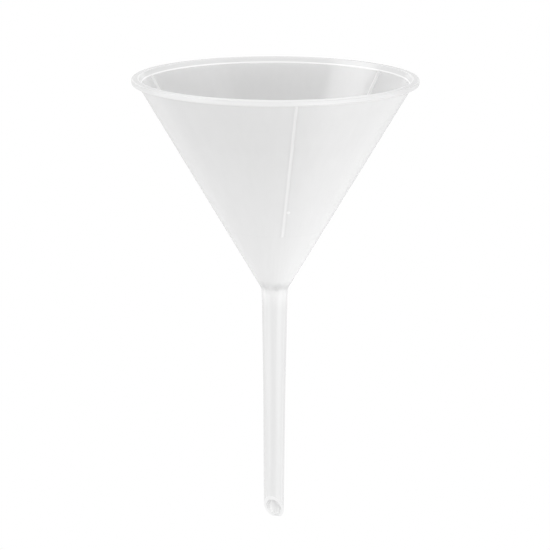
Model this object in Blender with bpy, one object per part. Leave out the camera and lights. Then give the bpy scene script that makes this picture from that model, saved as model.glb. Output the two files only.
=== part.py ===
"""Long-stem conical funnel, moulded in one shot from natural polypropylene.

Metres, +Z up. The origin is on the axis at the shoulder, where the bowl's cone meets the stem.
-Y is the front. The moulding is built as its functional zones, each a closed solid of its own,
with a PARTING_GAP between neighbours.
"""

import math

import bmesh
import bpy
from mathutils import Matrix, Vector

MM = 0.001

# Bowl: a 61 degree cone with a wall of even thickness.
RIM_TOP_Z = 75.0 * MM
SHOULDER_RADIUS = 4.8 * MM
CONE_HALF_ANGLE = math.radians(30.55)
WALL_ACROSS = 1.5 * MM  # wall thickness measured square to the axis

# Rim: a flange round the outside of the bowl's mouth.
RIM_RADIUS = 50.0 * MM
RIM_HEIGHT = 1.9 * MM
RIM_OUTER_ROUND = 0.4 * MM
RIM_UNDER_ROUND = 0.3 * MM
RIM_INNER_ROUND = 0.45 * MM

# Foot of the bowl: below this height the mould's core is a separate insert.
CORE_LINE_Z = 22.0 * MM

# Throat and stem: both the outside and the bore narrow downwards.
THROAT_TOP_Z = 3.0 * MM
THROAT_BOTTOM_Z = -4.0 * MM
STEM_NECK_RADIUS = 4.53 * MM  # at THROAT_BOTTOM_Z
STEM_KNEE_Z, STEM_KNEE_RADIUS = -36.0 * MM, 3.95 * MM  # the taper eases below the knee
STEM_END_Z, STEM_END_RADIUS = -86.0 * MM, 3.53 * MM
BORE_TOP_RADIUS = 3.2 * MM
BORE_END_RADIUS = 2.3 * MM

# Tip: cut off on the slant, highest towards the front left. Its lowest point is left blunt.
TIP_CUT_ANGLE = math.radians(54.5)
TIP_CUT_AZIMUTH = math.radians(-17.0)
TIP_CUT_AXIS_Z = -81.55 * MM

# Ribs: three narrow fins up the inside of the bowl. Azimuths run from the front towards +X.
RIB_AZIMUTHS = {
    "rib_front": math.radians(8.4),
    "rib_back_right": math.radians(126.5),
    "rib_back_left": math.radians(-108.5),
}
RIB_WIDTH = 1.0 * MM
RIB_HEIGHT = 0.8 * MM
RIB_BOTTOM_Z = CORE_LINE_Z
RIB_TOP_Z = RIM_TOP_Z - RIM_HEIGHT - 0.1 * MM  # at the foot of the flange
RIB_CREST_ROUND = 0.3 * MM

PARTING_GAP = 0.3 * MM
RING_SEGMENTS = 120
STEM_SEGMENTS = 72
ARC_STEPS = 5
MERGE_DISTANCE = 0.001 * MM
SHARP_ANGLE = math.radians(35.0)  # edges that turn more than this are shaded sharp
CUTTER_SIZE = 40.0 * MM

# Natural polypropylene: satin and translucent.
PLASTIC_COLOUR = (0.90, 0.91, 0.91, 1.0)
PLASTIC_ROUGHNESS = 0.35
PLASTIC_OPACITY = 0.55
PLASTIC_IOR = 1.49


def clear_scene():
    for old in list(bpy.data.objects):
        bpy.data.objects.remove(old, do_unlink=True)


def make_plastic():
    material = bpy.data.materials.new("polypropylene")
    material.use_nodes = True
    shader = material.node_tree.nodes["Principled BSDF"]
    shader.inputs["Base Color"].default_value = PLASTIC_COLOUR
    shader.inputs["Roughness"].default_value = PLASTIC_ROUGHNESS
    shader.inputs["Metallic"].default_value = 0.0
    shader.inputs["IOR"].default_value = PLASTIC_IOR
    shader.inputs["Alpha"].default_value = PLASTIC_OPACITY
    return material


def cone_outer_radius(z):
    return SHOULDER_RADIUS + z * math.tan(CONE_HALF_ANGLE)


def cone_inner_radius(z):
    return cone_outer_radius(z) - WALL_ACROSS


def stem_outer_radius(z):
    """Two straight tapers that meet at the knee."""
    if z >= STEM_KNEE_Z:
        share = (z - THROAT_BOTTOM_Z) / (STEM_KNEE_Z - THROAT_BOTTOM_Z)
        return STEM_NECK_RADIUS + share * (STEM_KNEE_RADIUS - STEM_NECK_RADIUS)
    share = (z - STEM_KNEE_Z) / (STEM_END_Z - STEM_KNEE_Z)
    return STEM_KNEE_RADIUS + share * (STEM_END_RADIUS - STEM_KNEE_RADIUS)


def bore_radius(z):
    return BORE_TOP_RADIUS + (z / STEM_END_Z) * (BORE_END_RADIUS - BORE_TOP_RADIUS)


def arc(centre, radius, start_deg, end_deg):
    """Points (r, z) on an arc; 0 degrees points outwards and 90 degrees up."""
    points = []
    for step in range(ARC_STEPS + 1):
        angle = math.radians(start_deg + (end_deg - start_deg) * step / ARC_STEPS)
        points.append(
            (centre[0] + radius * math.cos(angle), centre[1] + radius * math.sin(angle))
        )
    return points


def revolve(name, profile, segments, material):
    """Turns a closed (r, z) profile about the Z axis into one solid."""
    mesh = bpy.data.meshes.new(name)
    work = bmesh.new()
    corners = [work.verts.new((r, 0.0, z)) for r, z in profile]
    edges = [
        work.edges.new((corners[i], corners[(i + 1) % len(corners)]))
        for i in range(len(corners))
    ]
    bmesh.ops.spin(
        work,
        geom=corners + edges,
        cent=(0.0, 0.0, 0.0),
        axis=(0.0, 0.0, 1.0),
        angle=2.0 * math.pi,
        steps=segments,
        use_merge=True,
        use_duplicate=False,
    )
    bmesh.ops.remove_doubles(work, verts=work.verts[:], dist=MERGE_DISTANCE)
    bmesh.ops.recalc_face_normals(work, faces=work.faces[:])
    work.to_mesh(mesh)
    work.free()
    mesh.materials.append(material)
    smooth(mesh)
    piece = bpy.data.objects.new(name, mesh)
    bpy.context.scene.collection.objects.link(piece)
    return piece


def smooth(mesh):
    mesh.shade_smooth()
    mesh.set_sharp_from_angle(angle=SHARP_ANGLE)


def add_rim_flange(material):
    """The ring at the mouth: flat land on top, upright outer face, rounded edges."""
    top = RIM_TOP_Z
    bottom = RIM_TOP_Z - RIM_HEIGHT
    lean = 90.0 - math.degrees(CONE_HALF_ANGLE)
    inner = (
        cone_inner_radius(top - RIM_INNER_ROUND)
        + RIM_INNER_ROUND / math.cos(CONE_HALF_ANGLE),
        top - RIM_INNER_ROUND,
    )
    profile = arc(
        (RIM_RADIUS - RIM_OUTER_ROUND, top - RIM_OUTER_ROUND), RIM_OUTER_ROUND, 90, 0
    )
    profile += arc(
        (RIM_RADIUS - RIM_UNDER_ROUND, bottom + RIM_UNDER_ROUND), RIM_UNDER_ROUND, 0, -90
    )
    profile.append((cone_inner_radius(bottom), bottom))
    profile += arc(inner, RIM_INNER_ROUND, 90.0 + lean, 90.0)
    return revolve("rim_flange", profile, RING_SEGMENTS, material)


def add_cone(name, top, bottom, material):
    """A length of the conical wall, even in thickness."""
    profile = [
        (cone_outer_radius(top), top),
        (cone_outer_radius(bottom), bottom),
        (cone_inner_radius(bottom), bottom),
        (cone_inner_radius(top), top),
    ]
    return revolve(name, profile, RING_SEGMENTS, material)


def add_throat(material):
    """The neck where the cone turns into the stem, outside and in."""
    top = THROAT_TOP_Z - PARTING_GAP
    bottom = THROAT_BOTTOM_Z
    profile = [
        (cone_outer_radius(top), top),
        (SHOULDER_RADIUS, 0.0),
        (stem_outer_radius(bottom), bottom),
        (bore_radius(bottom), bottom),
        (bore_radius(0.0), 0.0),
        (cone_inner_radius(top), top),
    ]
    return revolve("throat", profile, STEM_SEGMENTS, material)


def add_tip_cutter():
    """A block whose top face is the slanting plane of the tip's cut."""
    mesh = bpy.data.meshes.new("tip_cutter")
    work = bmesh.new()
    bmesh.ops.create_cube(work, size=CUTTER_SIZE)
    bmesh.ops.translate(work, verts=work.verts[:], vec=(0.0, 0.0, -CUTTER_SIZE / 2.0))
    work.to_mesh(mesh)
    work.free()
    cutter = bpy.data.objects.new("tip_cutter", mesh)
    slant = Matrix.Rotation(-TIP_CUT_ANGLE, 4, "X")
    turn = Matrix.Rotation(TIP_CUT_AZIMUTH, 4, "Z")
    cutter.matrix_world = Matrix.Translation((0.0, 0.0, TIP_CUT_AXIS_Z)) @ turn @ slant
    cutter.hide_render = True
    cutter.display_type = "WIRE"
    bpy.context.scene.collection.objects.link(cutter)
    return cutter


def add_stem(material):
    """The long tapered tube, cut off on the slant at its end."""
    top = THROAT_BOTTOM_Z - PARTING_GAP
    low = STEM_END_Z
    profile = [
        (stem_outer_radius(top), top),
        (STEM_KNEE_RADIUS, STEM_KNEE_Z),
        (STEM_END_RADIUS, low),
        (bore_radius(low), low),
        (bore_radius(top), top),
    ]
    stem = revolve("stem", profile, STEM_SEGMENTS, material)
    cut = stem.modifiers.new("slanting tip", "BOOLEAN")
    cut.operation = "DIFFERENCE"
    cut.solver = "EXACT"
    cut.object = add_tip_cutter()
    return stem


def rib_stations():
    """(distance up the wall, height proud of it) up a rib, rounded off at both ends."""
    length = (RIB_TOP_Z - RIB_BOTTOM_Z) / math.cos(CONE_HALF_ANGLE)
    angles = [math.radians(90.0 * step / ARC_STEPS) for step in range(1, ARC_STEPS + 1)]
    lower = [
        (RIB_HEIGHT * (1.0 - math.cos(a)), RIB_HEIGHT * math.sin(a)) for a in angles
    ]
    upper = [(length - along, proud) for along, proud in reversed(lower)]
    return lower + upper


def rib_section(proud):
    """The fin's cross-section as (across, proud) points, with a rounded crest."""
    half = RIB_WIDTH / 2.0
    rounding = min(RIB_CREST_ROUND, 0.8 * proud)
    right = arc((half - rounding, proud - rounding), rounding, 0.0, 90.0)
    left = [(-across, height) for across, height in reversed(right)]
    return [(half, 0.0)] + right + left + [(-half, 0.0)]


def loft(name, sections, material):
    """Joins cross-sections of the same number of points into one closed solid."""
    mesh = bpy.data.meshes.new(name)
    work = bmesh.new()
    rings = [[work.verts.new(point) for point in section] for section in sections]
    for lower, upper in zip(rings, rings[1:]):
        for i in range(len(lower)):
            j = (i + 1) % len(lower)
            work.faces.new((lower[i], lower[j], upper[j], upper[i]))
    work.faces.new(rings[0])
    work.faces.new(rings[-1])
    bmesh.ops.recalc_face_normals(work, faces=work.faces[:])
    work.to_mesh(mesh)
    work.free()
    mesh.materials.append(material)
    smooth(mesh)
    piece = bpy.data.objects.new(name, mesh)
    bpy.context.scene.collection.objects.link(piece)
    return piece


def add_rib(name, azimuth, material):
    """One fin, standing on the inner wall along its slope, a gap clear of it."""
    outwards = Vector((math.sin(azimuth), -math.cos(azimuth), 0.0))
    across = Vector((math.cos(azimuth), math.sin(azimuth), 0.0))
    up_wall = outwards * math.sin(CONE_HALF_ANGLE) + Vector((0.0, 0.0, 1.0)) * math.cos(
        CONE_HALF_ANGLE
    )
    inwards = across.cross(up_wall) * -1.0
    foot = outwards * cone_inner_radius(RIB_BOTTOM_Z) + Vector((0.0, 0.0, RIB_BOTTOM_Z))
    foot += inwards * PARTING_GAP
    sections = [
        [
            foot + up_wall * along + across * sideways + inwards * height
            for sideways, height in rib_section(proud)
        ]
        for along, proud in rib_stations()
    ]
    return loft(name, sections, material)


def main():
    clear_scene()
    plastic = make_plastic()
    add_rim_flange(plastic)
    add_cone("bowl_cone", RIM_TOP_Z - RIM_HEIGHT - PARTING_GAP, CORE_LINE_Z, plastic)
    add_cone("bowl_foot", CORE_LINE_Z - PARTING_GAP, THROAT_TOP_Z, plastic)
    add_throat(plastic)
    add_stem(plastic)
    for name, azimuth in RIB_AZIMUTHS.items():
        add_rib(name, azimuth, plastic)


main()
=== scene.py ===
"""Looks for the long-stem laboratory funnel: natural polypropylene in a plain white studio.

Metres, +Z up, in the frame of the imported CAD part. The funnel's skin is worked out once, as one
grid of rings, and then cut into the rim, bowl, bowl foot, throat and stem, so that the pieces
meet unseen. The three ribs are fins of their own that grow out of the inner wall. Azimuths run
from the front (-Y) towards +X.
"""

import math

import bpy
import numpy as np
from mathutils import Matrix, Vector


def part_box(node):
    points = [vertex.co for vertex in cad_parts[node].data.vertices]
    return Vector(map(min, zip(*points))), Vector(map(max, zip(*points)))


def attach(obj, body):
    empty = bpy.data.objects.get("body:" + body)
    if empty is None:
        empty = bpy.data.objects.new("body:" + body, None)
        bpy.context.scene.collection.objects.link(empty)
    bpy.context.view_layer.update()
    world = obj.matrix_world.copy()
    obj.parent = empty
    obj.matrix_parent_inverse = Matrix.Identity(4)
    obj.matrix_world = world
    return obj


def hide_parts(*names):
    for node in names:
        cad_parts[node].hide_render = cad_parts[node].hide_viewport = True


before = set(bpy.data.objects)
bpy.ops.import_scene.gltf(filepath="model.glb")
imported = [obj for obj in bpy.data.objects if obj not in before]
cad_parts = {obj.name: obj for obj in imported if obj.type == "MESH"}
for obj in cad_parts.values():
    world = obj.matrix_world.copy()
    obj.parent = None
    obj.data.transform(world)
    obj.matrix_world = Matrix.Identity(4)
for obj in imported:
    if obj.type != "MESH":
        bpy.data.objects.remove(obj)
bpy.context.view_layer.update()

MM = 0.001
BODY = "root"

# Where the CAD says things are.
RIM_LOW, RIM_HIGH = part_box("rim_flange")
BOWL_LOW, BOWL_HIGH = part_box("bowl_cone")
FOOT_LOW, FOOT_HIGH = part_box("bowl_foot")
THROAT_LOW, THROAT_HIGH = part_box("throat")
STEM_LOW, STEM_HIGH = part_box("stem")

RIM_TOP = RIM_HIGH.z
RIM_UNDERSIDE = RIM_LOW.z
INSIDE_CAD = 0.01 * MM  # how far the skin stays inside the CAD part's box
RIM_RADIUS = RIM_HIGH.x - INSIDE_CAD
SEAM_RIM = 0.5 * (RIM_UNDERSIDE + BOWL_HIGH.z)
SEAM_FOOT = 0.5 * (BOWL_LOW.z + FOOT_HIGH.z)
SEAM_THROAT = 0.5 * (FOOT_LOW.z + THROAT_HIGH.z)
SEAM_STEM = 0.5 * (THROAT_LOW.z + STEM_HIGH.z)

# The cone and its wall.
SHOULDER_RADIUS = 4.8 * MM
CONE_HALF_ANGLE = math.radians(30.55)
WALL_ACROSS = 1.5 * MM  # wall thickness measured square to the axis
CORE_LINE_Z = 22.0 * MM  # where the mould's core has its inserted point
CORE_LINE_DEPTH = 0.07 * MM
CORE_LINE_WIDTH = 0.25 * MM
CORE_LINE_LEAN = 0.3 * CORE_LINE_DEPTH  # how much higher its floor lies than its lower lip
CORE_LINE_ROUND = 0.04 * MM
CORE_LINE_INNER_ROUND = 0.02 * MM

# The rim's section.
RIM_CROWN_DROP = 0.15 * MM  # how much lower the crown's outer part is
RIM_LAND = 0.9 * MM  # width of that outer part
RIM_LAND_ROUND = 0.8 * MM
RIM_INNER_ROUND = 0.35 * MM
RIM_OUTER_ROUND = 0.4 * MM
RIM_LOWER_ROUND = 0.3 * MM
RIM_FOOT_ROUND = 0.35 * MM

# The stem and its bore.
STEM_NECK_Z, STEM_NECK_RADIUS = -4.0 * MM, 4.53 * MM
STEM_KNEE_Z, STEM_KNEE_RADIUS = -36.0 * MM, 3.95 * MM
STEM_END_Z, STEM_END_RADIUS = -86.0 * MM, 3.53 * MM
BORE_TOP_RADIUS = 3.2 * MM
BORE_END_RADIUS = 2.3 * MM
BORE_MOUTH_Z, BORE_MOUTH_ROUND = -1.2 * MM, 2.5 * MM
CONE_FOOT_Z, CONE_FOOT_ROUND = 2.4 * MM, 1.5 * MM
SHOULDER_ROUND = 2.2 * MM
TIP_START_Z = -74.0 * MM  # below this the rings lean over to the slanting cut
TIP_CUT_ANGLE = math.radians(54.5)
TIP_CUT_AZIMUTH = math.radians(-17.0)
TIP_CUT_AXIS_Z = -81.55 * MM
TIP_ROUND = 0.25 * MM
TIP_BLUNT_Z = STEM_LOW.z + INSIDE_CAD  # the lowest point is left square to the axis
TIP_BLUNT_BLEND = 0.12 * MM
TIP_FACE_SHARE = 0.3  # the most of the end face that one rounding takes
TIP_ROWS = 10
CUT_SEARCH_STEPS = 8

# The ribs up the inside of the bowl, by azimuth.
RIBS = {
    "rib_front": math.radians(8.4),
    "rib_back_right": math.radians(126.5),
    "rib_back_left": math.radians(-108.5),
}
RIB_HALF_WIDTH = 0.42 * MM
RIB_HEIGHT = 0.85 * MM
RIB_BOTTOM_Z = 21.7 * MM
RIB_TOP_Z = RIM_UNDERSIDE + 0.1 * MM
RIB_SUNK = 0.02 * MM  # how deep a rib's foot reaches into the wall
RIB_END_LENGTH = 0.9 * MM
RIB_FOOT_ROUND = 0.22 * MM
RIB_CREST_ROUND = 0.26 * MM
RIB_FOOT_SHARE = 0.45  # the most of a low rib's height that each rounding takes
RIB_CREST_SHARE = 0.5
RIB_FOOT_STEPS = 5
RIB_CREST_STEPS = 6
RIB_END_STEPS = 8
RIB_LENGTH_STEPS = 40

# The mesh.
SEGMENTS = 288
ARC_STEPS = 7
HOLD = 0.06 * MM  # distance of the extra ring that keeps a rounded edge's shading tight
STRAIGHT_STEP = 1.6 * MM

# How the cone has drawn in as it cooled: an oval, and three lobes that twist on the way up.
WOBBLE = 0.03 * MM
OVAL_PHASE = 0.6
LOBES_SHARE = 0.5
LOBES_TWIST = 25.0  # radians per metre of height


def cone_outer(z):
    return SHOULDER_RADIUS + z * math.tan(CONE_HALF_ANGLE)


def cone_inner(z):
    return cone_outer(z) - WALL_ACROSS


def bore(z):
    return BORE_TOP_RADIUS + z / STEM_END_Z * (BORE_END_RADIUS - BORE_TOP_RADIUS)


def stem_outer(z):
    """Two straight tapers that meet at the knee."""
    zs = [STEM_END_Z, STEM_KNEE_Z, STEM_NECK_Z, 0.0]
    radii = [STEM_END_RADIUS, STEM_KNEE_RADIUS, STEM_NECK_RADIUS, SHOULDER_RADIUS]
    return float(np.interp(z, zs, radii))


def round_corner(before, corner, after, radius):
    """Points on the arc that rounds off a corner, with a holding point at each side."""
    corner = np.array(corner)
    to_before = np.array(before) - corner
    to_after = np.array(after) - corner
    to_before /= np.linalg.norm(to_before)
    to_after /= np.linalg.norm(to_after)
    half = 0.5 * math.acos(float(np.clip(to_before @ to_after, -1.0, 1.0)))
    reach = radius / math.tan(half)
    start = corner + to_before * reach
    bisector = to_before + to_after
    centre = corner + bisector / np.linalg.norm(bisector) * radius / math.sin(half)
    from_centre = start - centre
    turn = math.pi - 2.0 * half
    if np.cross(-to_before, to_after) < 0.0:
        turn = -turn
    points = [start + to_before * HOLD]
    for step in range(ARC_STEPS + 1):
        angle = turn * step / ARC_STEPS
        c, s = math.cos(angle), math.sin(angle)
        x, y = from_centre
        points.append(centre + np.array([c * x - s * y, s * x + c * y]))
    points.append(corner + to_after * (reach + HOLD))
    return points


def smooth_path(corners):
    """A fine path through (r, z, rounding) corners: arcs at the corners, steps between them."""
    path = [np.array(corners[0][:2])]
    for before, corner, after in zip(corners, corners[1:], corners[2:]):
        if corner[2] > 0.0:
            path += round_corner(before[:2], corner[:2], after[:2], corner[2])
        else:
            path.append(np.array(corner[:2]))
    path.append(np.array(corners[-1][:2]))
    fine = [path[0]]
    for point in path[1:]:
        count = max(1, math.ceil(np.linalg.norm(point - fine[-1]) / STRAIGHT_STEP))
        start = fine[-1]
        fine += [start + (point - start) * step / count for step in range(1, count + 1)]
    return np.array(fine)


def skin_corners():
    """The corners of the moulding's section, up the inside, over the rim and down the outside."""
    line_floor = (
        cone_inner(CORE_LINE_Z) + CORE_LINE_DEPTH,
        CORE_LINE_Z + CORE_LINE_LEAN,
        CORE_LINE_INNER_ROUND,
    )
    line_top = CORE_LINE_Z + CORE_LINE_WIDTH
    crown = RIM_TOP - RIM_CROWN_DROP
    return [
        (bore(TIP_START_Z), TIP_START_Z, 0.0),
        (bore(BORE_MOUTH_Z), BORE_MOUTH_Z, BORE_MOUTH_ROUND),
        (cone_inner(CONE_FOOT_Z), CONE_FOOT_Z, CONE_FOOT_ROUND),
        (cone_inner(CORE_LINE_Z), CORE_LINE_Z, CORE_LINE_ROUND),
        line_floor,
        (cone_inner(line_top), line_top, CORE_LINE_ROUND),
        (cone_inner(SEAM_RIM), SEAM_RIM, 0.0),
        (cone_inner(RIM_TOP), RIM_TOP, RIM_INNER_ROUND),
        (RIM_RADIUS - RIM_LAND, crown, RIM_LAND_ROUND),
        (RIM_RADIUS, crown, RIM_OUTER_ROUND),
        (RIM_RADIUS, RIM_UNDERSIDE, RIM_LOWER_ROUND),
        (cone_outer(RIM_UNDERSIDE), RIM_UNDERSIDE, RIM_FOOT_ROUND),
        (SHOULDER_RADIUS, 0.0, SHOULDER_ROUND),
        (STEM_NECK_RADIUS, STEM_NECK_Z, 0.0),
        (STEM_KNEE_RADIUS, STEM_KNEE_Z, 0.0),
        (stem_outer(TIP_START_Z), TIP_START_Z, 0.0),
    ]


def cut_height(radius, azimuth):
    """Height of the tip's end face over the point at this radius and azimuth."""
    slope = math.tan(TIP_CUT_ANGLE)
    slant = TIP_CUT_AXIS_Z + slope * radius * math.cos(azimuth - TIP_CUT_AZIMUTH)
    above = math.exp((slant - TIP_BLUNT_Z) / TIP_BLUNT_BLEND)
    return TIP_BLUNT_Z + TIP_BLUNT_BLEND * math.log1p(above)


def meet_cut(radius_at, azimuth):
    """(r, z) where a tapered skin meets the cut's plane."""
    z = TIP_CUT_AXIS_Z
    for _ in range(CUT_SEARCH_STEPS):
        z = cut_height(radius_at(z), azimuth)
    return np.array([radius_at(z), z])


def soft_end(start, corner, after):
    """Points from start that turn at the corner towards after, with the corner rounded."""
    start, corner, after = np.array(start), np.array(corner), np.array(after)
    back = start - corner
    reach = min(TIP_ROUND, TIP_FACE_SHARE * np.linalg.norm(after - corner))
    near = corner + back / np.linalg.norm(back) * TIP_ROUND
    far = corner + (after - corner) / np.linalg.norm(after - corner) * reach
    line = [start + (near - start) * step / TIP_ROWS for step in range(1, TIP_ROWS + 1)]
    curve = []
    for step in range(1, ARC_STEPS + 1):
        t = step / ARC_STEPS
        curve.append((1 - t) ** 2 * near + 2 * t * (1 - t) * corner + t * t * far)
    return line + curve


def tip_path(azimuth):
    """From the outer skin at TIP_START_Z down, across the cut face and up to the bore."""
    outer = meet_cut(stem_outer, azimuth)
    inner = meet_cut(bore, azimuth)
    down = soft_end((stem_outer(TIP_START_Z), TIP_START_Z), outer, inner)
    up = soft_end((bore(TIP_START_Z), TIP_START_Z), inner, outer)
    return np.array(down + up[::-1])


def skin_grid(section):
    """(points, normals) of the whole skin: closed along the section and round the axis."""
    azimuths = np.arange(SEGMENTS) * 2.0 * math.pi / SEGMENTS
    columns = [np.vstack([section, tip_path(a)]) for a in azimuths]
    rz = np.stack(columns, axis=1)
    radius, height = rz[..., 0], rz[..., 1]
    radius = radius - wobble(azimuths[None, :], height)
    points = np.stack(
        [radius * np.sin(azimuths), -radius * np.cos(azimuths), height], axis=-1
    )
    along_section = np.roll(points, -1, axis=0) - np.roll(points, 1, axis=0)
    around_axis = np.roll(points, -1, axis=1) - np.roll(points, 1, axis=1)
    normals = np.cross(along_section, around_axis)
    normals /= np.linalg.norm(normals, axis=-1, keepdims=True)
    return points, normals


def wobble(azimuth, z):
    """How far the cooled moulding has drawn in from a true cone: never outwards."""
    up = np.clip(z / RIM_TOP, 0.0, 1.0)
    oval = np.sin(2.0 * azimuth + OVAL_PHASE)
    lobes = LOBES_SHARE * np.sin(3.0 * azimuth + LOBES_TWIST * z)
    return WOBBLE * up * (1.0 + LOBES_SHARE + (oval + lobes))


def shell(name, points, normals, ranges):
    """A mesh from ranges of the grid's rings; each range becomes one strip of skin."""
    vertices, shading, faces = [], [], []
    for first, last in ranges:
        rows = np.arange(first, last + 1) % len(points)
        base = sum(len(v) for v in vertices)
        vertices.append(points[rows].reshape(-1, 3))
        shading.append(normals[rows].reshape(-1, 3))
        for i in range(len(rows) - 1):
            for j in range(SEGMENTS):
                k = (j + 1) % SEGMENTS
                low, high = base + i * SEGMENTS, base + (i + 1) * SEGMENTS
                faces.append((low + j, high + j, high + k, low + k))
    return make_mesh(name, np.vstack(vertices), faces, np.vstack(shading))


def make_mesh(name, vertices, faces, normals=None):
    """A smooth-shaded object in the scene, with its own vertex normals where they are given."""
    mesh = bpy.data.meshes.new(name)
    mesh.from_pydata([tuple(v) for v in vertices], [], faces)
    mesh.shade_smooth()
    if normals is not None:
        mesh.normals_split_custom_set_from_vertices([tuple(n) for n in normals])
    mesh.update()
    piece = bpy.data.objects.new(name, mesh)
    bpy.context.scene.collection.objects.link(piece)
    return piece


def seam_rows(section):
    """Ring numbers nearest to each seam, on the way up the inside and down the outside."""
    heights = section[:, 1]
    top = int(np.argmax(heights))
    found = {}
    seams = {"rim": SEAM_RIM, "foot": SEAM_FOOT, "throat": SEAM_THROAT, "stem": SEAM_STEM}
    for name, z in seams.items():
        inner = int(np.argmin(np.abs(heights[:top] - z)))
        outer = top + int(np.argmin(np.abs(heights[top:] - z)))
        found[name] = (inner, outer)
    return found


def build_skin():
    """The rim, bowl, bowl foot, throat and stem, each cut out of the one skin."""
    section = smooth_path(skin_corners())
    points, normals = skin_grid(section)
    seams = seam_rows(section)
    rim_in, rim_out = seams["rim"]
    foot_in, foot_out = seams["foot"]
    throat_in, throat_out = seams["throat"]
    stem_in, stem_out = seams["stem"]
    ranges = {
        "funnel_rim": [(rim_in, rim_out)],
        "funnel_bowl": [(foot_in, rim_in), (rim_out, foot_out)],
        "funnel_bowl_foot": [(throat_in, foot_in), (foot_out, throat_out)],
        "funnel_throat": [(stem_in, throat_in), (throat_out, stem_out)],
        "funnel_stem": [(stem_out, len(points) + stem_in)],
    }
    return {name: shell(name, points, normals, rows) for name, rows in ranges.items()}


def quarter(steps):
    """Angles from 0 to 90 degrees in equal steps."""
    return [math.radians(90.0 * step / steps) for step in range(steps + 1)]


def rib_section(height):
    """(across, proud) points over a rib: flared foot, upright side, rounded crest."""
    height = max(height, RIB_SUNK)
    foot = min(RIB_FOOT_ROUND, RIB_FOOT_SHARE * height)
    crest = min(RIB_CREST_ROUND, RIB_CREST_SHARE * height)
    right = []
    for angle in quarter(RIB_FOOT_STEPS):
        across = RIB_HALF_WIDTH + foot * (1.0 - math.sin(angle))
        right.append((across, foot * (1.0 - math.cos(angle))))
    for angle in quarter(RIB_CREST_STEPS)[1:]:
        across = RIB_HALF_WIDTH - crest * (1.0 - math.cos(angle))
        right.append((across, height - crest * (1.0 - math.sin(angle))))
    left = [(-across, proud) for across, proud in reversed(right)]
    return right + left


def rib_stations():
    """(z, height proud of the wall) up a rib, with both ends rounded off."""
    ends = [
        (RIB_END_LENGTH * (1.0 - math.cos(angle)), RIB_HEIGHT * math.sin(angle))
        for angle in quarter(RIB_END_STEPS)
    ]
    lower = [(RIB_BOTTOM_Z + inset, proud) for inset, proud in ends]
    upper = [(RIB_TOP_Z - inset, proud) for inset, proud in reversed(ends)]
    start = lower[-1][0]
    span = upper[0][0] - start
    middle = [
        (start + span * step / RIB_LENGTH_STEPS, RIB_HEIGHT)
        for step in range(1, RIB_LENGTH_STEPS)
    ]
    return lower + middle + upper


def build_rib(name, azimuth):
    """A fin that grows out of the inner wall and follows its curve."""
    vertices = []
    stations = rib_stations()
    for z, height in stations:
        radius = cone_inner(z) + RIB_SUNK
        for across, proud in rib_section(height):
            turn = azimuth + across / radius
            r = radius - proud * math.cos(CONE_HALF_ANGLE)
            lift = proud * math.sin(CONE_HALF_ANGLE)
            vertices.append((r * math.sin(turn), -r * math.cos(turn), z + lift))
    width = len(rib_section(RIB_HEIGHT))
    faces = []
    for i in range(len(stations) - 1):
        for j in range(width - 1):
            low, high = i * width + j, (i + 1) * width + j
            faces.append((low, low + 1, high + 1, high))
    return make_mesh(name, vertices, faces)


WHITE = (1.0, 1.0, 1.0, 1.0)

# Pairs that ranged() takes: the two values reached, or the two places where it reaches them.
RISE = (0.0, 1.0)
FALL = (1.0, 0.0)
WINDOW_SPAN = (0.0, 1.0)
NOISE_SPAN = (0.3, 0.7)  # nearly all values of a noise texture lie between these

# Where the marks of the mould, the ribs and the outlet show in the plastic's look.
PIP_Z = 31.8 * MM
PIP_ASIDE = 1.15 * MM
PIP_RADIUS = 0.7 * MM
PIP_EDGE = (0.6 * PIP_RADIUS, 1.2 * PIP_RADIUS)
RIB_FOOT_FADE = (RIB_BOTTOM_Z, RIB_BOTTOM_Z + 0.6 * MM)
OUTLET_EDGE = (BORE_END_RADIUS + 0.1 * MM, BORE_END_RADIUS + 0.25 * MM)
OUTLET_FADE = (-76.0 * MM, -66.0 * MM)

# How much light goes straight through one skin of the wall.
CONE_CLEARNESS = (0.22, 0.475)
CONE_CLEARNESS_SPAN = (2.0 * MM, 56.0 * MM)
STEM_CLEARNESS_GAIN = (2.2, 1.0)
STEM_CLEARNESS_SPAN = (-7.0 * MM, 2.0 * MM)
RIB_BEHIND = (0.22 * MM, 0.60 * MM)
THICK_CLEARNESS = (1.0, 0.3)

# How light the wall's scattered colour is, and the painted shade that darkens it: round the throat,
# along the core line, beside the ribs and in the outlet.
CONE_SHADE = (0.935, 0.866)
CONE_SHADE_SPAN = (8.0 * MM, 66.0 * MM)
STEM_SHADE = (0.975, 1.0)
STEM_SHADE_SPAN = (-9.0 * MM, 9.0 * MM)
THROAT_SHADOW_Z = 0.8 * MM
THROAT_SHADOW_EDGE = (0.6 * MM, 2.8 * MM)
THROAT_PATCH_SCALE = 420.0
THROAT_SHADOW_PATCHES = (0.035, 0.20)
CORE_LINE_SHADOW = (0.012, 0.0)
CORE_LINE_EDGE = (0.10 * MM, 0.30 * MM)
RIB_FLANK_SHADOW = 0.035
RIB_FLANK_EDGE = (0.9 * MM, 1.4 * MM)
OUTLET_SHADOW = 0.11

# Painted glow on the stem, standing in for light: along it in lengthwise stripes, and painted light
# on its cut end.
STEM_GLOW = (0.60, 0.0)
STEM_GLOW_SPAN = (-7.0 * MM, 1.0 * MM)
STEM_OUTSIDE = (BORE_END_RADIUS + 0.2 * MM, BORE_END_RADIUS + 0.5 * MM)
STRIPE_SCALE = 620.0
STRIPE_STRETCH = (1.0, 1.0, 0.02)
STRIPE_GLOW_LEVELS = (0.735, 0.815)
TIP_GLOW_LIFT = (0.05, 0.0)
TIP_GLOW_LIFT_SPAN = (-84.0 * MM, -54.0 * MM)
CUT_EDGE = (0.15 * MM, 0.55 * MM)
CUT_END = (-72.0 * MM, -70.0 * MM)
CUT_GLOW = 0.8
CUT_GLOW_LEVEL = 0.95
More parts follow.
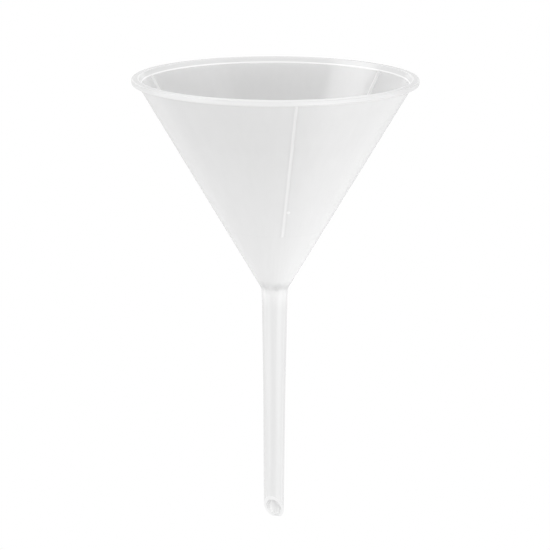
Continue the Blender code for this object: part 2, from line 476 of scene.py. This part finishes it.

# Painted glow on the rim, standing in for light: painted highlights at its edges and along the line
# round its foot; on its flat top, painted shade at the sides and back and a little painted light at
# the front.
RIM_EDGE_RADIUS = cone_inner(RIM_TOP)
RIM_EDGE_WIDTH = (0.10 * MM, 0.35 * MM)
RIM_TOP_INNER = (RIM_EDGE_RADIUS + 0.15 * MM, RIM_EDGE_RADIUS + 0.45 * MM)
RIM_TOP_OUTER = (RIM_RADIUS - 0.50 * MM, RIM_RADIUS - 0.25 * MM)
RIM_TOP_DEPTH = (RIM_TOP - 0.50 * MM, RIM_TOP - 0.30 * MM)
RIM_LINE_RADIUS = cone_inner(RIM_UNDERSIDE)
RIM_LINE_INSIDE = (RIM_LINE_RADIUS + 0.5 * MM, RIM_LINE_RADIUS + 0.7 * MM)
RIM_LINE_FOOT = (SEAM_RIM, SEAM_RIM + 0.12 * MM)
RIM_LINE_TOP = (RIM_UNDERSIDE + 0.32 * MM, RIM_UNDERSIDE + 0.65 * MM)
RIM_FRONT = (0.45 * RIM_RADIUS, 0.85 * RIM_RADIUS)
RIM_GLOW = (0.60, 0.95)  # off and on the line at the rim's foot
RIM_GLOW_LEVEL = 0.80
RIM_TOP_PAINTED_LIGHT = (-0.26, 0.06)  # painted shade at the sides and back, and painted light at the front
# The next two are painted highlights: on the rim's inner top edge and on the line round its foot.
RIM_EDGE_HIGHLIGHT = 0.05
RIM_LINE_HIGHLIGHT = 1.02

# Painted glow on the ribs, standing in for light, in patches.
RIB_GLOW = 0.60
RIB_PATCH_SCALE = 300.0
RIB_GLOW_PATCHES = (0.78, 0.86)

# The plastic as such. The first three are a noise's scale and detail.
CLOUDS = (38.0, 2.0)
STREAKS = (14.0, 3.0)
GRAIN = (2600.0, 1.0)
STREAK_STRETCH = 9.0  # per metre of height; the lower it is, the longer the streaks
CLOUD_CLEARNESS = (0.965, 1.035)
STREAK_CLEARNESS = (0.985, 1.015)
CLOUD_SHADE = (0.985, 1.0)
GRAIN_IN_RELIEF = 0.05
RELIEF_DEPTH = 0.4 * MM
GLOSS_ROUGHNESS = (0.102, 0.138)
SHINE_FACE_ON = 0.04
SHINE_EDGE_GAIN = 0.6
SHINE_POWER = 5.0
LEAST_COSINE = 0.12  # keeps the longest way through the wall within reason


class Nodes:
    """A small helper that adds linked shader nodes to one tree."""

    def __init__(self, tree):
        self.tree = tree
        tree.nodes.clear()

    def add(self, kind, inputs=None, **settings):
        node = self.tree.nodes.new(kind)
        for name, value in settings.items():
            setattr(node, name, value)
        for key, value in (inputs or {}).items():
            if isinstance(value, bpy.types.NodeSocket):
                self.tree.links.new(value, node.inputs[key])
            else:
                node.inputs[key].default_value = value
        return node

    def math(self, operation, *values):
        node = self.add("ShaderNodeMath", dict(enumerate(values)), operation=operation)
        return node.outputs[0]


def moulding_coordinates(nodes):
    """Place in the part, height, and coordinates that stretch along the way the plastic flowed."""
    place = nodes.add("ShaderNodeTexCoord").outputs["Object"]
    x, y, height = nodes.add("ShaderNodeSeparateXYZ", {0: place}).outputs
    flat = nodes.add("ShaderNodeCombineXYZ", {0: x, 1: y})
    around = nodes.add("ShaderNodeVectorMath", {0: flat.outputs[0]}, operation="NORMALIZE")
    ring_x, ring_y, _ = nodes.add("ShaderNodeSeparateXYZ", {0: around.outputs[0]}).outputs
    drawn = nodes.math("MULTIPLY", height, STREAK_STRETCH)
    flow = nodes.add("ShaderNodeCombineXYZ", {0: ring_x, 1: ring_y, 2: drawn})
    return place, height, flow.outputs[0]


def noise(nodes, vector, scale, detail=2.0):
    node = nodes.add(
        "ShaderNodeTexNoise",
        {"Vector": vector, "Scale": scale, "Detail": detail, "Roughness": 0.5},
    )
    return node.outputs["Fac"]


def ranged(nodes, value, reached, span=NOISE_SPAN):
    """Goes from the first value reached to the second over the span, and holds them outside it."""
    low, high = reached
    start, end = span
    node = nodes.add(
        "ShaderNodeMapRange",
        {"Value": value, "From Min": start, "From Max": end, "To Min": low, "To Max": high},
    )
    return node.outputs["Result"]


def distance(nodes, value, middle):
    """How far a value is from the middle, on either side."""
    return nodes.math("ABSOLUTE", nodes.math("SUBTRACT", value, middle))


def mixed(nodes, share, first, second):
    """The first shader, with a share of the second."""
    inputs = {0: share, 1: first.outputs[0], 2: second.outputs[0]}
    return nodes.add("ShaderNodeMixShader", inputs)


def radius_of(nodes, place):
    """Distance from the axis."""
    x, y, _ = nodes.add("ShaderNodeSeparateXYZ", {0: place}).outputs
    return nodes.math("SQRT", nodes.math("MULTIPLY_ADD", x, x, nodes.math("MULTIPLY", y, y)))


def along(nodes, place, azimuth):
    """Distance from the axis in the direction of an azimuth."""
    x, y, _ = nodes.add("ShaderNodeSeparateXYZ", {0: place}).outputs
    part_x = nodes.math("MULTIPLY", x, math.sin(azimuth))
    return nodes.math("MULTIPLY_ADD", y, -math.cos(azimuth), part_x)


def rib_window(nodes, place, height, edge):
    """1 on the wall beside a rib's middle line, fading to 0 over the edge."""
    total = 0.0
    for azimuth in RIBS.values():
        sideways = along(nodes, place, azimuth + 0.5 * math.pi)
        near = ranged(nodes, nodes.math("ABSOLUTE", sideways), FALL, edge)
        same_side = nodes.math("GREATER_THAN", along(nodes, place, azimuth), 0.0)
        total = nodes.math("MULTIPLY_ADD", near, same_side, total)
    return nodes.math("MULTIPLY", total, ranged(nodes, height, RISE, RIB_FOOT_FADE))


def pip_window(nodes, place):
    """1 on the little round mark that the mould leaves beside the front rib."""
    reach = cone_outer(PIP_Z)
    azimuth = RIBS["rib_front"] + PIP_ASIDE / reach
    middle = (reach * math.sin(azimuth), -reach * math.cos(azimuth), PIP_Z)
    away = nodes.add("ShaderNodeVectorMath", {0: place, 1: middle}, operation="DISTANCE")
    return ranged(nodes, away.outputs["Value"], FALL, PIP_EDGE)


def outlet_window(nodes, place, height):
    """1 inside the bore near the tip, and 0 on the outer skin."""
    bore_side = ranged(nodes, radius_of(nodes, place), FALL, OUTLET_EDGE)
    return nodes.math("MULTIPLY", bore_side, ranged(nodes, height, FALL, OUTLET_FADE))


def wall_clearness(nodes, place, height):
    """Least low on the cone, behind the ribs, at the pip and in the outlet; more in the stem."""
    cone = ranged(nodes, height, CONE_CLEARNESS, CONE_CLEARNESS_SPAN)
    gain = ranged(nodes, height, STEM_CLEARNESS_GAIN, STEM_CLEARNESS_SPAN)
    rib = rib_window(nodes, place, height, RIB_BEHIND)
    marked = nodes.math("MAXIMUM", rib, pip_window(nodes, place))
    thick = nodes.math("MAXIMUM", marked, outlet_window(nodes, place, height))
    clear = nodes.math("MULTIPLY", cone, gain)
    return nodes.math("MULTIPLY", clear, ranged(nodes, thick, THICK_CLEARNESS, WINDOW_SPAN))


def wall_shade(nodes, place, height):
    """Lightest low on the cone; painted shade at the throat and core line, by the ribs and in the
    outlet.
    """
    cone = ranged(nodes, height, CONE_SHADE, CONE_SHADE_SPAN)
    stem = ranged(nodes, height, STEM_SHADE, STEM_SHADE_SPAN)
    # Painted shade: patches round the throat, a line along the core line, the rib flanks and the
    # outlet.
    near_throat = ranged(
        nodes, distance(nodes, height, THROAT_SHADOW_Z), FALL, THROAT_SHADOW_EDGE
    )
    patches = ranged(nodes, noise(nodes, place, THROAT_PATCH_SCALE), THROAT_SHADOW_PATCHES)
    throat = nodes.math("MULTIPLY", near_throat, patches)
    line = ranged(nodes, distance(nodes, height, CORE_LINE_Z), CORE_LINE_SHADOW, CORE_LINE_EDGE)
    beside_rib = rib_window(nodes, place, height, RIB_FLANK_EDGE)
    flank = nodes.math("MULTIPLY", beside_rib, RIB_FLANK_SHADOW)
    outlet = nodes.math("MULTIPLY", outlet_window(nodes, place, height), OUTLET_SHADOW)
    rings = nodes.math("ADD", throat, line)
    darker = nodes.math("ADD", rings, nodes.math("ADD", flank, outlet))
    level = nodes.math("MULTIPLY", cone, stem)
    return nodes.math("MULTIPLY", level, nodes.math("SUBTRACT", 1.0, darker))


def stem_stripes(nodes, place, height):
    """How bright the stem's painted glow is: lengthwise stripes, a little lighter towards the tip."""
    stretched = nodes.add(
        "ShaderNodeVectorMath", {0: place, 1: STRIPE_STRETCH}, operation="MULTIPLY"
    )
    pattern = noise(nodes, stretched.outputs["Vector"], STRIPE_SCALE)
    stripes = ranged(nodes, pattern, STRIPE_GLOW_LEVELS)
    return nodes.math("ADD", stripes, ranged(nodes, height, TIP_GLOW_LIFT, TIP_GLOW_LIFT_SPAN))


def cut_window(nodes, place, height):
    """1 on the slanting end face of the stem and 0 away from it."""
    forward = along(nodes, place, TIP_CUT_AZIMUTH)
    slant = nodes.math("MULTIPLY_ADD", forward, math.tan(TIP_CUT_ANGLE), TIP_CUT_AXIS_Z)
    near = ranged(nodes, distance(nodes, height, slant), FALL, CUT_EDGE)
    return nodes.math("MULTIPLY", near, ranged(nodes, height, FALL, CUT_END))


def wall_painted_glow(nodes, place, height):
    """(share, level) of the painted glow down the stem's outer skin and the painted light on its cut
    end.
    """
    # Painted glow: emission along the stem, and painted light on the slanting cut face.
    stem = ranged(nodes, height, STEM_GLOW, STEM_GLOW_SPAN)
    outside = ranged(nodes, radius_of(nodes, place), RISE, STEM_OUTSIDE)
    at_cut = cut_window(nodes, place, height)
    share = nodes.math("MAXIMUM", nodes.math("MULTIPLY", at_cut, CUT_GLOW), stem)
    cut_level = nodes.math("MULTIPLY", at_cut, CUT_GLOW_LEVEL)
    level = nodes.math("MAXIMUM", cut_level, stem_stripes(nodes, place, height))
    return nodes.math("MULTIPLY", share, outside), level


def rim_foot_highlight(nodes, radius, height):
    """1 on the painted highlight line that runs round the inside of the rim's foot."""
    inside = ranged(nodes, radius, FALL, RIM_LINE_INSIDE)
    foot = ranged(nodes, height, RISE, RIM_LINE_FOOT)
    over = ranged(nodes, height, FALL, RIM_LINE_TOP)
    return nodes.math("MULTIPLY", nodes.math("MULTIPLY", foot, over), inside)


def rim_painted_glow(nodes, place, height):
    """(share, level) of the painted glow on the rim: painted highlights at its edges and foot line,
    painted shade on its flat top at the sides and back, painted light at the front.
    """
    radius = radius_of(nodes, place)
    past_edge = ranged(nodes, radius, RISE, RIM_TOP_INNER)
    within_rim = ranged(nodes, radius, FALL, RIM_TOP_OUTER)
    on_top = ranged(nodes, height, RISE, RIM_TOP_DEPTH)
    flat_top = nodes.math("MULTIPLY", nodes.math("MULTIPLY", past_edge, within_rim), on_top)
    near_edge = ranged(nodes, distance(nodes, radius, RIM_EDGE_RADIUS), FALL, RIM_EDGE_WIDTH)
    edge = nodes.math("MULTIPLY", near_edge, on_top)
    line = rim_foot_highlight(nodes, radius, height)

    # Painted highlights at the edges and the foot line; painted shade and light on the flat top, by
    # side.
    share = ranged(nodes, line, RIM_GLOW, WINDOW_SPAN)
    painted_top_light = ranged(nodes, along(nodes, place, 0.0), RIM_TOP_PAINTED_LIGHT, RIM_FRONT)
    topped = nodes.math("MULTIPLY_ADD", flat_top, painted_top_light, RIM_GLOW_LEVEL)
    edged = nodes.math("MULTIPLY_ADD", edge, RIM_EDGE_HIGHLIGHT, topped)
    return share, nodes.math("MAXIMUM", edged, nodes.math("MULTIPLY", line, RIM_LINE_HIGHLIGHT))


def rib_painted_glow(nodes, place, height):
    """(share, level) of the painted glow in a rib, in patches."""
    return RIB_GLOW, ranged(nodes, noise(nodes, place, RIB_PATCH_SCALE), RIB_GLOW_PATCHES)


def milkiness(nodes, clear, clouds, streaks, facing):
    """The share of light that a skin scatters: more of it, the further the skin is turned away."""
    hazed = nodes.math("MULTIPLY", ranged(nodes, clouds, CLOUD_CLEARNESS), clear)
    streaked = nodes.math("MULTIPLY", hazed, ranged(nodes, streaks, STREAK_CLEARNESS))
    cosine = nodes.math("MAXIMUM", nodes.math("SUBTRACT", 1.0, facing), LEAST_COSINE)
    straight = nodes.math("POWER", streaked, nodes.math("DIVIDE", 1.0, cosine))
    return nodes.math("SUBTRACT", 1.0, straight)


def scattering(nodes, level, ripple, through):
    """Milky plastic that sends most of the light back and a share of it out at the far side."""
    tone = nodes.add("ShaderNodeCombineColor", {0: level, 1: level, 2: level}).outputs[0]
    back = nodes.add("ShaderNodeBsdfDiffuse", {"Color": tone, "Normal": ripple})
    forward = nodes.add("ShaderNodeBsdfTranslucent", {"Color": tone, "Normal": ripple})
    return mixed(nodes, through, back, forward)


def polypropylene(name, clearness, shade, through=0.12, relief=0.06, glow=None):
    """Natural polypropylene: milky, so it lets some light straight through and scatters the rest.

    clearness is the share of light that goes straight through one skin seen face on, and shade
    is how light the scattered colour is; each is a number or a function that adds nodes for it.
    through is the share of the scattered light that comes out at the far side, and relief is how
    strongly the moulded surface ripples. glow adds nodes for a painted glow, emitted light that
    stands in for light on the plastic: its share and its level.
    """
    material = bpy.data.materials.new(name)
    material.use_nodes = True
    nodes = Nodes(material.node_tree)
    place, height, flow = moulding_coordinates(nodes)
    clouds = noise(nodes, place, *CLOUDS)
    streaks = noise(nodes, flow, *STREAKS)
    grain = noise(nodes, place, *GRAIN)
    facing = nodes.add("ShaderNodeLayerWeight", {"Blend": 0.5}).outputs["Facing"]

    lumps = nodes.math("ADD", streaks, nodes.math("MULTIPLY", grain, GRAIN_IN_RELIEF))
    ripple = nodes.add(
        "ShaderNodeBump", {"Strength": relief, "Distance": RELIEF_DEPTH, "Height": lumps}
    ).outputs["Normal"]
    plain = shade(nodes, place, height) if callable(shade) else shade
    level = nodes.math("MULTIPLY", ranged(nodes, clouds, CLOUD_SHADE), plain)
    clear = clearness(nodes, place, height) if callable(clearness) else clearness
    milky = milkiness(nodes, clear, clouds, streaks, facing)
    see = nodes.add("ShaderNodeBsdfTransparent", {"Color": WHITE})
    body = mixed(nodes, milky, see, scattering(nodes, level, ripple, through))
    # Painted glow: an emission mixed into the plastic in place of light from the lamps.
    if glow:
        share, strength = glow(nodes, place, height)
        painted_glow_shader = nodes.add("ShaderNodeEmission", {"Strength": strength})
        body = mixed(nodes, share, body, painted_glow_shader)

    steep = nodes.math("MULTIPLY", nodes.math("POWER", facing, SHINE_POWER), SHINE_EDGE_GAIN)
    mirrored = nodes.math("ADD", steep, SHINE_FACE_ON)
    polish = ranged(nodes, grain, GLOSS_ROUGHNESS)
    shine = nodes.add(
        "ShaderNodeBsdfGlossy", {"Color": WHITE, "Roughness": polish, "Normal": ripple}
    )
    surface = mixed(nodes, mirrored, body, shine)
    nodes.add("ShaderNodeOutputMaterial", {"Surface": surface.outputs[0]})
    return material


def dress(piece, material, *stands_for):
    """Gives a piece its material and its place in the CAD part."""
    piece.data.materials.append(material)
    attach(piece, BODY)
    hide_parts(*stands_for)


def build_funnel():
    skin = build_skin()
    wall = polypropylene("polypropylene_wall", wall_clearness, wall_shade, glow=wall_painted_glow)
    rim = polypropylene(
        "polypropylene_rim", clearness=0.25, shade=0.97, through=0.4, relief=0.02, glow=rim_painted_glow
    )
    fin = polypropylene(
        "polypropylene_rib", clearness=0.30, shade=0.97, through=0.4, glow=rib_painted_glow
    )
    dress(skin["funnel_rim"], rim, "rim_flange")
    dress(skin["funnel_bowl"], wall, "bowl_cone")
    dress(skin["funnel_bowl_foot"], wall, "bowl_foot")
    dress(skin["funnel_throat"], wall, "throat")
    dress(skin["funnel_stem"], wall, "stem")
    for name, azimuth in RIBS.items():
        dress(build_rib("funnel_" + name, azimuth), fin, name)


# The camera: what it looks at, from where, and through what lens.
LOOK_Z = -1.0 * MM
CAMERA_DISTANCE = 950.0 * MM
CAMERA_ELEVATION = math.radians(13.55)
CAMERA_ROLL = math.radians(0.22)
SENSOR_WIDTH = 36.0
FOCAL_SHARE = 2685.0 / 550.0  # focal length over the picture's width
SHIFT_X = 0.0006
SHIFT_Y = 0.0274
CLIP_START, CLIP_END = 0.01, 40.0


def add_camera():
    data = bpy.data.cameras.new("camera")
    data.sensor_width = SENSOR_WIDTH
    data.lens = SENSOR_WIDTH * FOCAL_SHARE
    data.shift_x = SHIFT_X
    data.shift_y = SHIFT_Y
    data.clip_start = CLIP_START
    data.clip_end = CLIP_END
    data.dof.use_dof = False
    camera = bpy.data.objects.new("camera", data)
    bpy.context.scene.collection.objects.link(camera)
    back = Vector((0.0, -math.cos(CAMERA_ELEVATION), math.sin(CAMERA_ELEVATION)))
    turn = (-back).to_track_quat("-Z", "Y").to_matrix().to_4x4()
    roll = Matrix.Rotation(CAMERA_ROLL, 4, "Z")
    place = Matrix.Translation(Vector((0.0, 0.0, LOOK_Z)) + back * CAMERA_DISTANCE)
    camera.matrix_world = place @ turn @ roll
    bpy.context.scene.camera = camera


# The studio's lights as the funnel sees them. Each is (azimuth, elevation) of its middle,
# (half width, half height), and softness of its edges, all in degrees, and how bright it is.
SOFTBOXES = {
    "left": ((-84.0, 4.0), (27.0, 38.0), 14.0, 1.24),
    "left_high": ((-84.0, 36.0), (21.0, 12.0), 12.0, 2.00),
    "right": ((66.0, -4.0), (46.0, 30.0), 24.0, 1.20),
    "right_high": ((78.0, 38.0), (24.0, 10.0), 10.0, 0.60),
    "front": ((0.0, -12.0), (64.0, 30.0), 30.0, 1.04),
    "back_top": ((180.0, 58.0), (48.0, 20.0), 16.0, 2.00),
    "backdrop": ((180.0, 16.0), (29.0, 14.0), 14.0, 0.85),
    "backdrop_low": ((180.0, -20.0), (50.0, 20.0), 20.0, 0.48),
}
ROOM_LIGHT = 0.32

FLOOR_HALF_WIDTH = 4.0
FLOOR_DROP = 0.55  # how far below the stem's tip it lies
MOST_SEE_THROUGH = 32  # how many clear skins a ray may pass


def box_window(nodes, angle, middle, half, soft):
    """1 inside a span of angles and 0 outside it, with soft ends."""
    wrapped = nodes.math("WRAP", nodes.math("SUBTRACT", angle, middle), 180.0, -180.0)
    return nodes.add(
        "ShaderNodeMapRange",
        {
            "Value": nodes.math("ABSOLUTE", wrapped),
            "From Min": half - 0.5 * soft,
            "From Max": half + 0.5 * soft,
            "To Min": 1.0,
            "To Max": 0.0,
        },
        interpolation_type="SMOOTHSTEP",
    ).outputs["Result"]


def add_world():
    """White to the camera; to the funnel, a dim room with softboxes round it."""
    world = bpy.data.worlds.new("studio")
    bpy.context.scene.world = world
    world.use_nodes = True
    nodes = Nodes(world.node_tree)
    direction = nodes.add("ShaderNodeTexCoord").outputs["Generated"]
    x, y, z = nodes.add("ShaderNodeSeparateXYZ", {0: direction}).outputs
    azimuth = nodes.math("DEGREES", nodes.math("ARCTAN2", x, nodes.math("MULTIPLY", y, -1.0)))
    elevation = nodes.math("DEGREES", nodes.math("ARCSINE", z))
    level = ROOM_LIGHT
    for middle, half, soft, bright in SOFTBOXES.values():
        across = box_window(nodes, azimuth, middle[0], half[0], soft)
        upright = box_window(nodes, elevation, middle[1], half[1], soft)
        box = nodes.math("MULTIPLY", nodes.math("MULTIPLY", across, upright), bright)
        level = nodes.math("ADD", box, level)
    seen = nodes.add("ShaderNodeLightPath").outputs["Is Camera Ray"]
    strength = nodes.add("ShaderNodeMix", {"Factor": seen, "A": level, "B": 1.0})
    sky = nodes.add(
        "ShaderNodeBackground",
        {"Color": WHITE, "Strength": strength.outputs["Result"]},
    )
    nodes.add("ShaderNodeOutputWorld", {"Surface": sky.outputs[0]})


def add_floor():
    """A plain white floor that gives off even light, so no shadow falls on it, and lights nothing."""
    size = FLOOR_HALF_WIDTH
    z = STEM_LOW.z - FLOOR_DROP
    mesh = bpy.data.meshes.new("floor")
    corners = [(-size, -size, z), (size, -size, z), (size, size, z), (-size, size, z)]
    mesh.from_pydata(corners, [], [(0, 1, 2, 3)])
    floor = bpy.data.objects.new("floor", mesh)
    bpy.context.scene.collection.objects.link(floor)
    material = bpy.data.materials.new("white_floor")
    material.use_nodes = True
    nodes = Nodes(material.node_tree)
    glow = nodes.add("ShaderNodeEmission", {"Color": WHITE, "Strength": 1.0})
    nodes.add("ShaderNodeOutputMaterial", {"Surface": glow.outputs[0]})
    mesh.materials.append(material)
    floor.visible_diffuse = False
    floor.visible_glossy = False


def add_studio():
    add_world()
    add_floor()
    bpy.context.scene.view_settings.view_transform = "Standard"
    bpy.context.scene.cycles.transparent_max_bounces = MOST_SEE_THROUGH


build_funnel()
add_studio()
add_camera()
